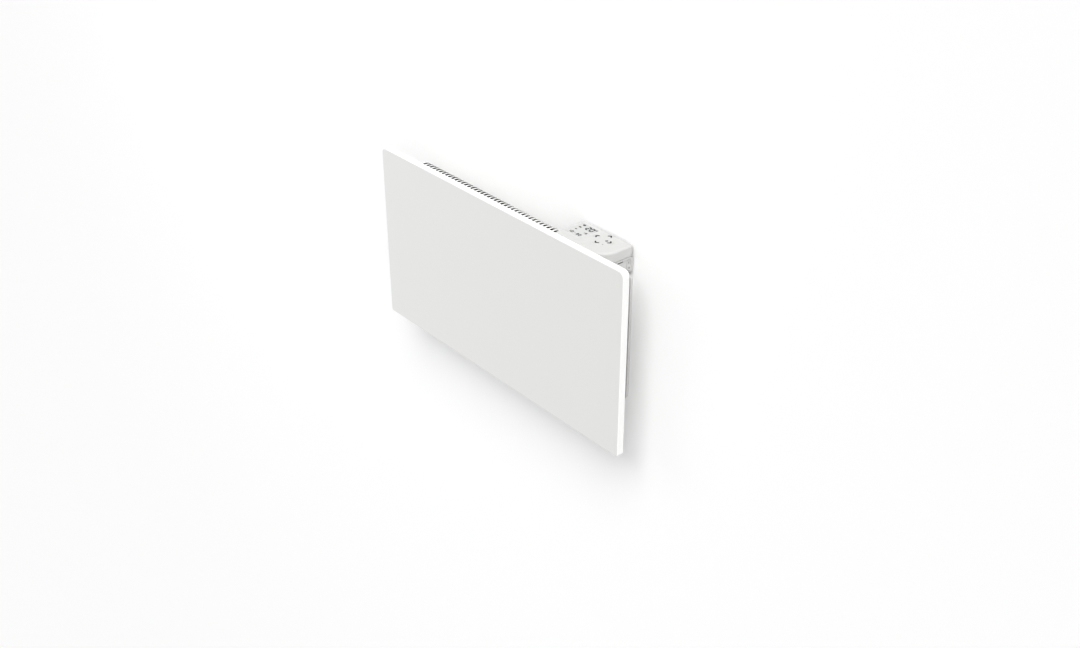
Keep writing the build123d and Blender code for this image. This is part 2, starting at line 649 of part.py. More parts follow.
def make_control_cap():
    """Hood over the casing's upper right corner, with openings for window, keys and light."""
    outer = extrude(
        Plane.XY.offset(CAP_BOTTOM) * corner_plan(CAP_LEFT, CAP_RIGHT, CAP_FRONT, CAP_BACK, (7, 30, 6, 8)),
        amount=CAP_TOP - CAP_BOTTOM,
    )
    outer = fillet(outer.faces().sort_by(Axis.Z)[-1].edges(), CAP_EDGE)
    wall = CAP_WALL
    inner = extrude(
        Plane.XY.offset(CAP_BOTTOM) * corner_plan(
            CAP_LEFT + wall, CAP_RIGHT - wall, CAP_FRONT + wall, CAP_BACK - wall, (5, 28, 4, 6)),
        amount=CAP_TOP - wall - CAP_BOTTOM,
    )
    inner = fillet(inner.faces().sort_by(Axis.Z)[-1].edges(), CAP_INNER_EDGE)
    cap = outer - inner
    posts = [rod_z(2.6, BOARD_TOP, CAP_TOP - wall + 0.5, x, y) for x, y in BOARD_SCREWS]
    posts += [rod_z(2.5, 172.5, CAP_TOP - wall + 0.5, x, y) for x, y in SHELF_SCREWS]
    cap = fused([cap] + posts)
    cap -= casing_envelope(0.4)
    x0, x1, y0, y1 = WINDOW
    play = 0.12
    cap -= extrude(
        Plane.XY.offset(CAP_TOP - 3) * corner_plan(x0 - play, x1 + play, y0 - play, y1 + play, (3, 3, 3, 3)),
        amount=5,
    )
    for x, y in KEY_PLACES.values():
        cap -= rod_z(KEY_RADIUS + 0.25, CAP_TOP - 3, CAP_TOP + 1, x, y)
    cap -= rod_z(1.05, CAP_TOP - 3, CAP_TOP + 1, *LIGHT_PLACE)
    for x, y in BOARD_SCREWS:
        cap -= rod_z(0.95, BOARD_TOP - 1, BOARD_TOP + 4, x, y)
    for x, y in SHELF_SCREWS:
        cap -= rod_z(1.25, 172, 181, x, y)
    add("control_cap", cap)


def make_control_housing():
    """Shelf under the hood and the box behind the casing that holds switch and terminals."""
    shelf = extrude(
        Plane.XY.offset(SHELF_BOTTOM) * corner_plan(
            CAP_LEFT + SHELF_INSET, CAP_RIGHT - SHELF_INSET, CAP_FRONT + SHELF_INSET,
            CAP_BACK - SHELF_INSET, (6.2, 29.2, 5.2, 7.2)),
        amount=SHELF_TOP - SHELF_BOTTOM,
    )
    shelf -= casing_envelope(0.4)
    shelf = shelf.solids().sort_by(SortBy.VOLUME)[-1]
    spigot = extrude(
        Plane.XY.offset(SHELF_TOP) * corner_plan(159.3, 280.7, -33.4, -6.3, (1, 1, 3.7, 5.7)), amount=3.2,
    )
    spigot -= extrude(
        Plane.XY.offset(SHELF_TOP) * corner_plan(160.8, 279.2, -31.9, -7.8, (0.6, 0.6, 2.2, 4.2)), amount=4,
    )
    box = block(HOUSING_LEFT, HOUSING_RIGHT, HOUSING_FRONT, HOUSING_BACK, HOUSING_BOTTOM, SHELF_BOTTOM)
    box = fillet(box.edges().filter_by(Axis.Y).group_by(Axis.Z)[0], 1.3)
    wall = HOUSING_WALL
    cavity = block(
        HOUSING_LEFT + wall, HOUSING_RIGHT - wall, HOUSING_FRONT + wall, HOUSING_BACK + 1,
        HOUSING_BOTTOM + wall, SHELF_BOTTOM,
    )
    skirt = block(
        HOUSING_LEFT, HOUSING_RIGHT, SKIRT_FRONT, HOUSING_FRONT + 1, HOUSING_BOTTOM, SHELF_BOTTOM + 1,
    )
    skirt = fillet(skirt.edges().filter_by(Axis.Y).group_by(Axis.Z)[0], 1.3)
    skirt -= block(
        HOUSING_LEFT + wall, HOUSING_RIGHT - wall, SKIRT_FRONT - 1, HOUSING_FRONT,
        HOUSING_BOTTOM + wall, SHELF_BOTTOM + 2,
    )
    skirt -= block(HOUSING_RIGHT - wall - 1, HOUSING_RIGHT + 1, *SENSOR_SLOT)
    skirt -= casing_envelope(0.4)
    housing = fused([box - cavity, skirt, shelf, spigot])
    for x, z in COVER_SCREWS:
        housing += rod_y(2.8, HOUSING_FRONT + 1, -3.6, x, z)
    for x, z in HOUSING_BOSSES:
        housing += rod_y(4.5, CASING_BACK, HOUSING_FRONT + 1, x, z)
    for x, z in COVER_SCREWS:
        housing -= rod_y(1.25, -14, -3, x, z)
    for x, z in HOUSING_BOSSES:
        housing -= rod_y(SCREW_RADIUS + HOLE_PLAY, CASING_BACK - 1, HOUSING_FRONT + 3, x, z)
    for x, y in SHELF_SCREWS:
        housing -= rod_z(SCREW_RADIUS, SHELF_BOTTOM - 1, SHELF_TOP + 4, x, y)
    housing -= block(214, 258, -20, -7, SHELF_BOTTOM - 1, SHELF_TOP + 1)
    housing -= rod_y(7.0, HOUSING_FRONT - 1, HOUSING_FRONT + 3, LEAD_X, LEAD_Z[1])
    housing -= pill(SWITCH_LENGTH + 1.7, SWITCH_WIDTH + 1.7, HOUSING_RIGHT - 3, HOUSING_RIGHT + 1)
    housing -= rod_z(6.5, HOUSING_BOTTOM - 1, HOUSING_BOTTOM + 3, *GLAND_PLACE)
    add("control_housing", housing)


def make_control_back_cover():
    """Flat cover that closes the housing towards the wall."""
    cover = upright_slab(
        HOUSING_RIGHT - HOUSING_LEFT - 4.4, SHELF_BOTTOM - HOUSING_BOTTOM - 2.4, 1.0, -3.6, HOUSING_BACK,
        (HOUSING_LEFT + HOUSING_RIGHT) / 2, (SHELF_BOTTOM + HOUSING_BOTTOM + 2) / 2,
    )
    for x, z in COVER_SCREWS:
        cover -= rod_y(1.35, -4, 0, x, z)
        cover -= rod_y(2.7, -2.8, 0, x, z)
    add("control_back_cover", cover)


def make_control_screws():
    """Small screws of the control unit: hood, board, cover and fixing to the casing."""
    screws = []
    for x, y in SHELF_SCREWS:
        screws.append(rod_z(2.7, SHELF_BOTTOM - 1.4, SHELF_BOTTOM, x, y) + rod_z(1.2, SHELF_BOTTOM, 180, x, y))
    for x, y in BOARD_SCREWS:
        screws.append(rod_z(2.0, BOARD_BOTTOM - 1.1, BOARD_BOTTOM, x, y) + rod_z(0.9, BOARD_BOTTOM, 185, x, y))
    for x, z in COVER_SCREWS:
        screws.append(rod_y(2.5, -2.8, -2.2, x, z) + rod_y(1.2, -13, -2.8, x, z))
    for x, z in HOUSING_BOSSES:
        seat = HOUSING_FRONT + HOUSING_WALL
        screws.append(pan_head_y(x, z, seat, CASING_INNER_BACK - 2, 3.0, 1.6))
    add("control_screws", Compound(children=screws))


def make_display():
    """Flush window with a glued flange, and the display module under it."""
    x0, x1, y0, y1 = WINDOW
    pane = extrude(Plane.XY.offset(186.8) * corner_plan(x0, x1, y0, y1, (2.9, 2.9, 2.9, 2.9)), amount=3.2)
    flange = extrude(
        Plane.XY.offset(186.8) * corner_plan(x0 - 1.5, x1 + 1.5, y0 - 1.5, y1 + 1.5, (4, 4, 4, 4)),
        amount=1.2,
    )
    add("display_window", pane + flange)
    module = block(169.5, 206, -55, -15, BOARD_TOP, 186.6)
    module -= block(172, 203.5, -52.5, -17.5, 185.6, 187)
    add("display_module", module)


def make_circuit_board():
    """Board under the hood, with its relay on the underside."""
    outline = corner_plan(169, 272, -57.5, -7, (1.5, 14, 1.5, 1.5))
    board = extrude(Plane.XY.offset(BOARD_BOTTOM) * outline, amount=BOARD_TOP - BOARD_BOTTOM)
    for x, y in BOARD_SCREWS:
        board -= rod_z(1.0, BOARD_BOTTOM - 1, BOARD_TOP + 1, x, y)
    add("circuit_board", board)
    relay = block(180, 199, -28, -14, 173.5, BOARD_BOTTOM)
    add("power_relay", chamfer(relay.faces().sort_by(Axis.Z)[0].edges(), 0.8))


def make_keys():
    """Four round push keys with dished tops, and the snap dome under each."""
    for name, (x, y) in KEY_PLACES.items():
        low = BOARD_TOP + 4.2
        key = rod_z(KEY_RADIUS, low, CAP_TOP + 0.3, x, y)
        key = fillet(key.edges().filter_by(GeomType.CIRCLE).sort_by(Axis.Z)[-1], 0.4)
        key += rod_z(KEY_RADIUS + 0.5, low, low + 1.5, x, y)
        dish_radius = 60.0
        dish = Pos(x, y, CAP_TOP + 0.3 + dish_radius - 0.25) * Sphere(dish_radius)
        add(name, key - dish)
        dome = Pos(x, y, (BOARD_TOP + low) / 2) * Cone(4.8, 2.6, low - BOARD_TOP)
        dome -= Pos(x, y, (BOARD_TOP + low) / 2 - 0.6) * Cone(4.0, 1.8, low - BOARD_TOP)
        add("dome_" + name, dome)


def make_status_light():
    """Light pipe from the board to the hood's surface."""
    x, y = LIGHT_PLACE
    pipe = rod_z(1.0, BOARD_TOP, CAP_TOP, x, y) + rod_z(1.8, 185.5, CAP_TOP - CAP_WALL, x, y)
    add("status_light", pipe)


def make_terminal_block():
    """Four-way block with screw wells, on the housing's front wall."""
    seat = HOUSING_FRONT + HOUSING_WALL
    body = block(BLOCK_LEFT, BLOCK_RIGHT, seat, seat + 12, BLOCK_BOTTOM, BLOCK_BOTTOM + 13)
    body = fillet(body.faces().sort_by(Axis.Y)[-1].edges(), 0.8)
    for i in range(4):
        x = BLOCK_LEFT + 2.8 + 5.0 * i
        body -= rod_y(1.6, seat + 7, seat + 13, x, BLOCK_BOTTOM + 10)
        body -= block(x - 1.7, x + 1.7, seat + 2, seat + 8, BLOCK_BOTTOM - 1, BLOCK_BOTTOM + 3)
    add("terminal_block", body)


def pill(length, width, x0, x1):
    """An upright round-ended prism at the switch's place, from x0 to x1."""
    place = Plane.YZ.offset(x0) * Pos(SWITCH_Y, SWITCH_Z)
    return extrude(place * SlotOverall(length, width, rotation=90), amount=x1 - x0)


def make_mains_switch():
    """Snap-in rocker switch with round ends in the housing's right side: frame, rocker and tabs."""
    frame = pill(SWITCH_LENGTH + 1.6, SWITCH_WIDTH + 1.6, SWITCH_BACK, HOUSING_RIGHT)
    flange = pill(SWITCH_LENGTH + 3.2, SWITCH_WIDTH + 3.2, HOUSING_RIGHT, HOUSING_RIGHT + 0.8)
    flange = fillet(flange.faces().sort_by(Axis.X)[-1].edges(), 0.35)
    frame += flange
    frame -= pill(SWITCH_LENGTH, SWITCH_WIDTH, SWITCH_BACK + 8, HOUSING_RIGHT + 2)
    frame -= rod_y(1.25, SWITCH_Y - 5.0, SWITCH_Y + 5.0, ROCKER_PIVOT_X, SWITCH_Z)
    add("mains_switch_frame", frame)
    outline = Polyline(
        (6.0, 0), (7.15, 9.4), (6.6, 9.8), (1.5, 8.6), (-3.5, 3.0),
        (-3.5, -3.0), (1.5, -8.6), (6.6, -9.8), (7.15, -9.4), close=True,
    )
    half = SWITCH_WIDTH / 2 - ROCKER_PLAY
    rocker = extrude(Plane.XZ.offset(-half) * make_face(outline), amount=2 * half)
    round_ends = extrude(Plane.YZ.offset(-5) * SlotOverall(19.2, 2 * half, rotation=90), amount=15)
    rocker = rocker & round_ends
    rocker += rod_y(1.2, -4.9, 4.9, 0, 0)
    rocker = Pos(ROCKER_PIVOT_X, SWITCH_Y, SWITCH_Z) * Rot(0, -ROCKER_REST_ANGLE, 0) * rocker
    add("mains_rocker", rocker)
    tabs = []
    for z in (SWITCH_Z - 6, SWITCH_Z + 6):
        for y in (SWITCH_Y - 2.4, SWITCH_Y + 2.4):
            tabs.append(block(SWITCH_BACK - 6, SWITCH_BACK, y - 0.4, y + 0.4, z - 2.4, z + 2.4))
    add("switch_terminals", Compound(children=tabs))


def make_cable_gland():
    """Inlet in the housing's floor for a supply cable."""
    x, y = GLAND_PLACE
    gland = rod_z(6.4, GLAND_BOTTOM, GLAND_TOP, x, y)
    gland += rod_z(7.4, HOUSING_BOTTOM - 3, HOUSING_BOTTOM, x, y)
    gland += rod_z(7.4, HOUSING_BOTTOM + 2, HOUSING_BOTTOM + 3.5, x, y)
    tip = gland.edges().filter_by(GeomType.CIRCLE).sort_by(Axis.Z)[0]
    gland = chamfer(tip, 1.2)
    gland -= rod_z(3.6, GLAND_BOTTOM - 1, GLAND_TOP + 1, x, y)
    add("cable_gland", gland)


# ---------------------------------------------------------------- build and write
def build():
    """Make every piece."""
    make_front_panel()
    make_panel_rails()
    make_back_casing()
    make_casing_screws()
    make_element()
    make_element_brackets()
    make_heat_shield()
    make_inner_rivets()
    make_overheat_cutout()
    make_room_sensor()
    make_leads()
    make_lead_clips()
    make_lead_sleeve()
    make_pivot_brackets()
    make_catch_blades()
    make_outer_rivets()
    make_wall_frame()
    make_bracket_arms()
    make_catch_springs()
    make_rest_buffers()
    make_arm_rivets()
    make_control_cap()
    make_control_housing()
    make_control_back_cover()
    make_control_screws()
    make_display()
    make_circuit_board()
    make_keys()
    make_status_light()
    make_terminal_block()
    make_mains_switch()
    make_cable_gland()


build()
os.makedirs("parts", exist_ok=True)
for node, solid in parts.items():
    export_step(solid, f"parts/{node}.step")
print(len(parts), "nodes")
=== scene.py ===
import bpy
import json
import math
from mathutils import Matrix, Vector


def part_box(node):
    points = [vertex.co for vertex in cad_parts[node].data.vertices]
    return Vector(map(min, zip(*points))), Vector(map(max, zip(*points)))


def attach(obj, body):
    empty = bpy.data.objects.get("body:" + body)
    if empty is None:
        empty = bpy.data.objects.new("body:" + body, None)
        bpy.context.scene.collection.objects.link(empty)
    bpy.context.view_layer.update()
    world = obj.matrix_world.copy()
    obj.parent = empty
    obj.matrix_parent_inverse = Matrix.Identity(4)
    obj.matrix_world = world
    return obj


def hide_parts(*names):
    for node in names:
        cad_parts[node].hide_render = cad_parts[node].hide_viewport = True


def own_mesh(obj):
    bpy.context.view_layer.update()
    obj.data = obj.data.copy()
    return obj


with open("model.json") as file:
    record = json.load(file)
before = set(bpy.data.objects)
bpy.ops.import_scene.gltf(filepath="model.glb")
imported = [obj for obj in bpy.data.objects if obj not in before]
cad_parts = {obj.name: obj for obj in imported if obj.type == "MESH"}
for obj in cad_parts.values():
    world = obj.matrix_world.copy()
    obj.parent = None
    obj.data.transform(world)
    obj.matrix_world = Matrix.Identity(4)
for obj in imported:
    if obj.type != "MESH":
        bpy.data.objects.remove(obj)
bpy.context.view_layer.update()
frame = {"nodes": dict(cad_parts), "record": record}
nodes = frame["nodes"]
MM = 0.001
TINY = 1e-7

# ------------------------------------------------------------------ names and heights in the part
CAP_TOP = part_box("display_window")[1].z
KEY_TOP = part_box("key_left")[1].z
KEYS = ("key_left", "key_right", "key_up", "key_down")


# ------------------------------------------------------------------ node helpers
def group_with(name, inputs, outputs):
    """A shader node group with named sockets: (name, type, default) for inputs."""
    tree = bpy.data.node_groups.new(name, "ShaderNodeTree")
    for label, kind, default in inputs:
        socket = tree.interface.new_socket(label, in_out="INPUT", socket_type=kind)
        socket.default_value = default
    for label, kind in outputs:
        tree.interface.new_socket(label, in_out="OUTPUT", socket_type=kind)
    return tree, tree.nodes.new("NodeGroupInput"), tree.nodes.new("NodeGroupOutput")


def feed(tree, socket, value):
    """A socket gets another node's output or a plain value."""
    if isinstance(value, bpy.types.NodeSocket):
        tree.links.new(value, socket)
    else:
        socket.default_value = value


def maths(tree, operation, a, b=None):
    """A maths node whose inputs are sockets or plain numbers; returns its output."""
    node = tree.nodes.new("ShaderNodeMath")
    node.operation = operation
    feed(tree, node.inputs[0], a)
    if b is not None:
        feed(tree, node.inputs[1], b)
    return node.outputs[0]


def vector_maths(tree, operation, a, b):
    """A vector maths node on two sockets; returns the node."""
    node = tree.nodes.new("ShaderNodeVectorMath")
    node.operation = operation
    tree.links.new(a, node.inputs[0])
    tree.links.new(b, node.inputs["Scale" if operation == "SCALE" else 1])
    return node


def noise_pattern(tree, vector, scale, detail):
    """A noise texture's value at a place."""
    noise = tree.nodes.new("ShaderNodeTexNoise")
    noise.inputs["Detail"].default_value = detail
    feed(tree, noise.inputs["Vector"], vector)
    feed(tree, noise.inputs["Scale"], scale)
    return noise.outputs["Fac"]


def blend_colors(tree, factor, a, b, blend="MIX"):
    """Two colours blended by a factor; returns the result."""
    node = tree.nodes.new("ShaderNodeMix")
    node.data_type = "RGBA"
    node.blend_type = blend
    feed(tree, node.inputs["Factor"], factor)
    tree.links.new(a, node.inputs["A"])
    tree.links.new(b, node.inputs["B"])
    return node.outputs["Result"]


def add_relief(tree, given, made, pattern):
    """A group's bump and its change in roughness, both from one pattern."""
    bump = tree.nodes.new("ShaderNodeBump")
    tree.links.new(pattern, bump.inputs["Height"])
    tree.links.new(given.outputs["Height"], bump.inputs["Distance"])
    tree.links.new(bump.outputs["Normal"], made.inputs["Normal"])
    centred = maths(tree, "SUBTRACT", pattern, 0.5)
    change = maths(tree, "MULTIPLY", centred, given.outputs["Variation"])
    rough = maths(tree, "ADD", change, given.outputs["Roughness"])
    tree.links.new(rough, made.inputs["Roughness"])


# ------------------------------------------------------------------ shader groups
SURFACE_OUTPUTS = (
    ("Normal", "NodeSocketVector"), ("Roughness", "NodeSocketFloat"), ("Color", "NodeSocketColor"),
)


def make_grain_group():
    """Fine skin of paint or moulded plastic: a shallow bump, small changes in roughness and tone."""
    tree, given, made = group_with(
        "Fine skin",
        (
            ("Color", "NodeSocketColor", (0.7, 0.7, 0.7, 1)),
            ("Tone Variation", "NodeSocketFloat", 0.02),
            ("Scale", "NodeSocketFloat", 900.0),
            ("Height", "NodeSocketFloat", 0.00002),
            ("Roughness", "NodeSocketFloat", 0.4),
            ("Variation", "NodeSocketFloat", 0.06),
        ),
        SURFACE_OUTPUTS,
    )
    place = tree.nodes.new("ShaderNodeTexCoord").outputs["Object"]
    add_relief(tree, given, made, noise_pattern(tree, place, given.outputs["Scale"], 3.0))
    clouds = noise_pattern(tree, place, 11.0, 2.0)
    spread = maths(tree, "SUBTRACT", clouds, 0.5)
    spread = maths(tree, "MULTIPLY", spread, given.outputs["Tone Variation"])
    tone = maths(tree, "ADD", spread, 1.0)
    scaled = vector_maths(tree, "SCALE", given.outputs["Color"], tone)
    tree.links.new(scaled.outputs["Vector"], made.inputs["Color"])
    return tree


def make_drawn_group():
    """Metal drawn, rolled or brushed one way: streaks along the axis with the smallest scale."""
    tree, given, made = group_with(
        "Drawn metal",
        (
            ("Streak Scale", "NodeSocketVector", (20.0, 900.0, 900.0)),
            ("Height", "NodeSocketFloat", 0.00001),
            ("Roughness", "NodeSocketFloat", 0.35),
            ("Variation", "NodeSocketFloat", 0.2),
            ("Base Color", "NodeSocketColor", (0.6, 0.6, 0.6, 1)),
            ("Dark", "NodeSocketFloat", 0.8),
        ),
        SURFACE_OUTPUTS,
    )
    place = tree.nodes.new("ShaderNodeTexCoord").outputs["Object"]
    stretched = vector_maths(tree, "MULTIPLY", place, given.outputs["Streak Scale"])
    streaks = noise_pattern(tree, stretched.outputs["Vector"], 1.0, 4.0)
    add_relief(tree, given, made, streaks)
    tint = tree.nodes.new("ShaderNodeMapRange")
    tree.links.new(streaks, tint.inputs["Value"])
    tree.links.new(given.outputs["Dark"], tint.inputs["To Min"])
    shade = blend_colors(tree, 1.0, given.outputs["Base Color"], tint.outputs["Result"], "MULTIPLY")
    tree.links.new(shade, made.inputs["Color"])
    return tree


def make_painted_highlight_group():
    """One tone on the flat sides of a sheet that face along an axis, and a lighter tone on its edges,
    which is a painted highlight for the light falling there.
    """
    tree, given, made = group_with(
        "Face and rim",
        (
            ("Axis", "NodeSocketVector", (0.0, 1.0, 0.0)),
            ("Face Color", "NodeSocketColor", (0.7, 0.7, 0.7, 1)),
            ("Painted Highlight Color", "NodeSocketColor", (0.9, 0.9, 0.9, 1)),
        ),
        (("Color", "NodeSocketColor"),),
    )
    normal = tree.nodes.new("ShaderNodeTexCoord").outputs["Normal"]
    along = vector_maths(tree, "DOT_PRODUCT", normal, given.outputs["Axis"])
    facing = maths(tree, "ABSOLUTE", along.outputs["Value"])
    blend = tree.nodes.new("ShaderNodeMapRange")
    blend.interpolation_type = "SMOOTHSTEP"
    blend.inputs["From Min"].default_value = 0.55
    blend.inputs["From Max"].default_value = 0.95
    tree.links.new(facing, blend.inputs["Value"])
    # The lighter edge tone is a painted highlight, standing in for the light on the sheet's edges.
    rim = given.outputs["Painted Highlight Color"]
    mixed = blend_colors(tree, blend.outputs["Result"], rim, given.outputs["Face Color"])
    tree.links.new(mixed, made.inputs["Color"])
    return tree


def make_inner_shade_group():
    """A shell's outer colour, and a dark tone that is painted shade where its surface looks inwards to
    a middle point.
    """
    tree, given, made = group_with(
        "Shell and lining",
        (
            ("Middle", "NodeSocketVector", (0.0, 0.0, 0.0)),
            ("Outer Color", "NodeSocketColor", (0.7, 0.7, 0.7, 1)),
            ("Painted Shade Color", "NodeSocketColor", (0.1, 0.1, 0.1, 1)),
        ),
        (("Color", "NodeSocketColor"), ("Painted Shade Mask", "NodeSocketFloat")),
    )
    place = tree.nodes.new("ShaderNodeTexCoord")
    outward = vector_maths(tree, "SUBTRACT", place.outputs["Object"], given.outputs["Middle"])
    turned = vector_maths(tree, "DOT_PRODUCT", outward.outputs["Vector"], place.outputs["Normal"])
    # Inward-facing surfaces get the dark tone: painted shade for the inside seen through the slots.
    inside = maths(tree, "LESS_THAN", turned.outputs["Value"], 0.0)
    outer = given.outputs["Outer Color"]
    mixed = blend_colors(tree, inside, outer, given.outputs["Painted Shade Color"])
    tree.links.new(mixed, made.inputs["Color"])
    tree.links.new(inside, made.inputs["Painted Shade Mask"])
    return tree


GRAIN = make_grain_group()
DRAWN = make_drawn_group()
PAINTED_EDGE_HIGHLIGHT = make_painted_highlight_group()
PAINTED_INNER_SHADE = make_inner_shade_group()


# ------------------------------------------------------------------ materials
def new_material(name):
    """An empty node material with its shader, ready to fill."""
    material = bpy.data.materials.new(name)
    material.use_nodes = True
    shader = material.node_tree.nodes["Principled BSDF"]
    return material, shader


def placed_group(tree, group, values):
    """A group placed in a material with its own values."""
    node = tree.nodes.new("ShaderNodeGroup")
    node.node_tree = group
    for label, value in values.items():
        node.inputs[label].default_value = value
    return node


def dress(tree, shader, effect):
    """The shader takes its normal, roughness and colour from an effect."""
    tree.links.new(effect.outputs["Normal"], shader.inputs["Normal"])
    tree.links.new(effect.outputs["Roughness"], shader.inputs["Roughness"])
    tree.links.new(effect.outputs["Color"], shader.inputs["Base Color"])


def skin(name, color, roughness, height=0.00001, scale=900.0, coat=0.0, specular=0.5, tone=0.02):
    """Paint, plastic, rubber or ceramic: one colour with a fine skin."""
    material, shader = new_material(name)
    tree = material.node_tree
    effect = placed_group(tree, GRAIN, {
        "Color": (*color, 1), "Tone Variation": tone, "Scale": scale, "Height": height,
        "Roughness": roughness,
    })
    effect.name = "Fine skin"
    dress(tree, shader, effect)
    shader.inputs["Coat Weight"].default_value = coat
    shader.inputs["Coat Roughness"].default_value = 0.12
    shader.inputs["Specular IOR Level"].default_value = specular
    return material


def with_painted_tones(material, group, values):
    """A skin whose colour comes from a group that tells two sides apart; its two uses paint a
    highlight on the panel's edges and shade inside the casing.
    """
    tree = material.node_tree
    tones = placed_group(tree, group, values)
    tree.links.new(tones.outputs["Color"], tree.nodes["Fine skin"].inputs["Color"])
    return material


def enamel_with_painted_highlight(name, face, rim, roughness):
    """Enamelled sheet whose rolled edge gets a painted highlight, lighter than its flat sides."""
    material = skin(name, face, roughness, 0.000004, 700, coat=0.15, tone=0.012)
    return with_painted_tones(material, PAINTED_EDGE_HIGHLIGHT, {"Face Color": (*face, 1), "Painted Highlight Color": (*rim, 1)})


def enamel_with_painted_inner_shade(name, outer, lining, roughness, middle):
    """Enamelled shell whose inside gets painted shade, dark where it is seen through the slots."""
    material = skin(name, outer, roughness, 0.000004, 700, coat=0.1)
    return with_painted_tones(material, PAINTED_INNER_SHADE, {
        "Middle": middle, "Outer Color": (*outer, 1), "Painted Shade Color": (*lining, 1),
    })


def metal(name, color, roughness, streaks, height=0.00001, dark=0.8):
    """Bare or plated metal with streaks one way."""
    material, shader = new_material(name)
    tree = material.node_tree
    effect = placed_group(tree, DRAWN, {
        "Streak Scale": streaks, "Height": height, "Roughness": roughness,
        "Base Color": (*color, 1), "Dark": dark,
    })
    dress(tree, shader, effect)
    shader.inputs["Metallic"].default_value = 1.0
    return material


WHITE_FACE = (0.735, 0.735, 0.722)
# The lighter edge tone is a painted highlight for the light on the panel's top and side edges.
WHITE_PAINTED_HIGHLIGHT = (0.87, 0.87, 0.86)
ALUMINIUM = (0.74, 0.75, 0.76)
SLOTS = {
    "panel_enamel": enamel_with_painted_highlight("white enamel with painted edge highlight", WHITE_FACE, WHITE_PAINTED_HIGHLIGHT, 0.42),
    "frame_enamel": skin("bracket enamel", (0.66, 0.66, 0.65), 0.5, 0.000008, 900),
    "cap_plastic": skin("hood plastic", (0.585, 0.585, 0.573), 0.62, 0.000006, 1600, specular=0.3),
    "key_plastic": skin("key plastic", (0.58, 0.58, 0.568), 0.55, 0.000004, 1600, specular=0.3),
    "window_grey": skin("display window", (0.555, 0.56, 0.548), 0.14, 0.000001, 300, coat=0.5),
    "display_grey": skin("display frame", (0.42, 0.43, 0.42), 0.5),
    "board_green": skin("board lacquer", (0.03, 0.16, 0.07), 0.35, coat=0.4),
    "black_plastic": skin("black moulding", (0.02, 0.02, 0.02), 0.5, 0.00001, 1500),
    "switch_plastic": skin("switch moulding", (0.50, 0.50, 0.49), 0.4, 0.000006, 1500),
    "rocker_plastic": skin("rocker moulding", (0.55, 0.55, 0.54), 0.25, 0.000003, 1500),
    "zinc_steel": metal("zinc plated steel", (0.62, 0.64, 0.66), 0.38, (60, 60, 60), 0.000004, 0.85),
    "screw_steel": metal("bright fasteners", (0.66, 0.67, 0.68), 0.28, (900, 900, 900), 0.000003, 0.9),
    "pin_steel": metal("turned pin", (0.60, 0.60, 0.61), 0.25, (1500, 20, 20), 0.000004, 0.85),
    "spring_steel": metal("spring leaf", (0.32, 0.33, 0.37), 0.3, (900, 30, 900), 0.000003),
    "sheath_steel": metal("heated sheath", (0.30, 0.28, 0.27), 0.5, (40, 700, 700), 0.000004, 0.7),
    "extruded_aluminium": metal("extruded aluminium", ALUMINIUM, 0.35, (8, 900, 900), 0.000006),
    "ceramic": skin("ceramic bead", (0.72, 0.69, 0.62), 0.2, 0.000003, 1500, coat=0.3),
    "silicone": skin("silicone rubber", (0.40, 0.40, 0.385), 0.7, 0.00001, 1200),
    "nylon": skin("natural nylon", (0.66, 0.64, 0.56), 0.45, 0.000006, 1200),
    "probe_black": skin("probe resin", (0.02, 0.02, 0.02), 0.3),
    "lead_brown": skin("brown insulation", (0.11, 0.04, 0.015), 0.45, 0.000004, 1800),
    "lead_blue": skin("blue insulation", (0.01, 0.06, 0.32), 0.45, 0.000004, 1800),
    "lead_black": skin("black insulation", (0.02, 0.02, 0.02), 0.45, 0.000004, 1800),
    "light_pipe": skin("light pipe", (0.12, 0.13, 0.12), 0.2, coat=0.3),
}
CASING_MIDDLE = (0.0, -0.088, 0.005)
CASING_OUTSIDE = (0.80, 0.80, 0.785)
# The dark inside tone is painted shade for the casing's inside, seen through the vent slots.
CASING_PAINTED_SHADE = (0.075, 0.075, 0.078)
CASING_WITH_PAINTED_SHADE = enamel_with_painted_inner_shade("casing enamel with painted inner shade", CASING_OUTSIDE, CASING_PAINTED_SHADE, 0.45, CASING_MIDDLE)
INK = skin("printed ink", (0.012, 0.013, 0.014), 0.6, 0.000002, 2500, specular=0.15)
SEGMENTS = skin("display segments", (0.016, 0.018, 0.02), 0.5, 0.000001, 2500, specular=0.15)


def dress_part():
    """Every node of the part gets its slot's material, and the casing its own, with painted shade on
    its inside.
    """
    for part in frame["record"]["subparts"]:
        for held in nodes[part["node"]].material_slots:
            held.material = SLOTS[part["material_slot"]]
    for held in nodes["back_casing"].material_slots:
        held.material = CASING_WITH_PAINTED_SHADE


# ------------------------------------------------------------------ modelling helpers
def start_clean():
    """Nothing selected, so that the next operator works on its own piece only."""
    bpy.ops.object.select_all(action="DESELECT")


def settle():
    """The active piece's place, turn and size go into its mesh."""
    bpy.ops.object.transform_apply(location=True, rotation=True, scale=True)


def take_up(piece):
    """Only this piece is selected, and it is the active one."""
    start_clean()
    piece.select_set(True)
    bpy.context.view_layer.objects.active = piece


def pick_edges(piece, wanted):
    """Edit mode, with only the edges selected whose two ends pass a test."""
    bpy.ops.object.mode_set(mode="EDIT")
    bpy.ops.mesh.select_mode(type="EDGE")
    bpy.ops.mesh.select_all(action="DESELECT")
    bpy.ops.object.mode_set(mode="OBJECT")
    points = piece.data.vertices
    for edge in piece.data.edges:
        edge.select = wanted(points[edge.vertices[0]].co, points[edge.vertices[1]].co)
    bpy.ops.object.mode_set(mode="EDIT")


def round_off(piece, wanted, offset, segments, profile=0.5):
    """The picked edges bevelled."""
    pick_edges(piece, wanted)
    bpy.ops.mesh.bevel(offset=offset, offset_type="OFFSET", segments=segments, profile=profile)
    bpy.ops.object.mode_set(mode="OBJECT")


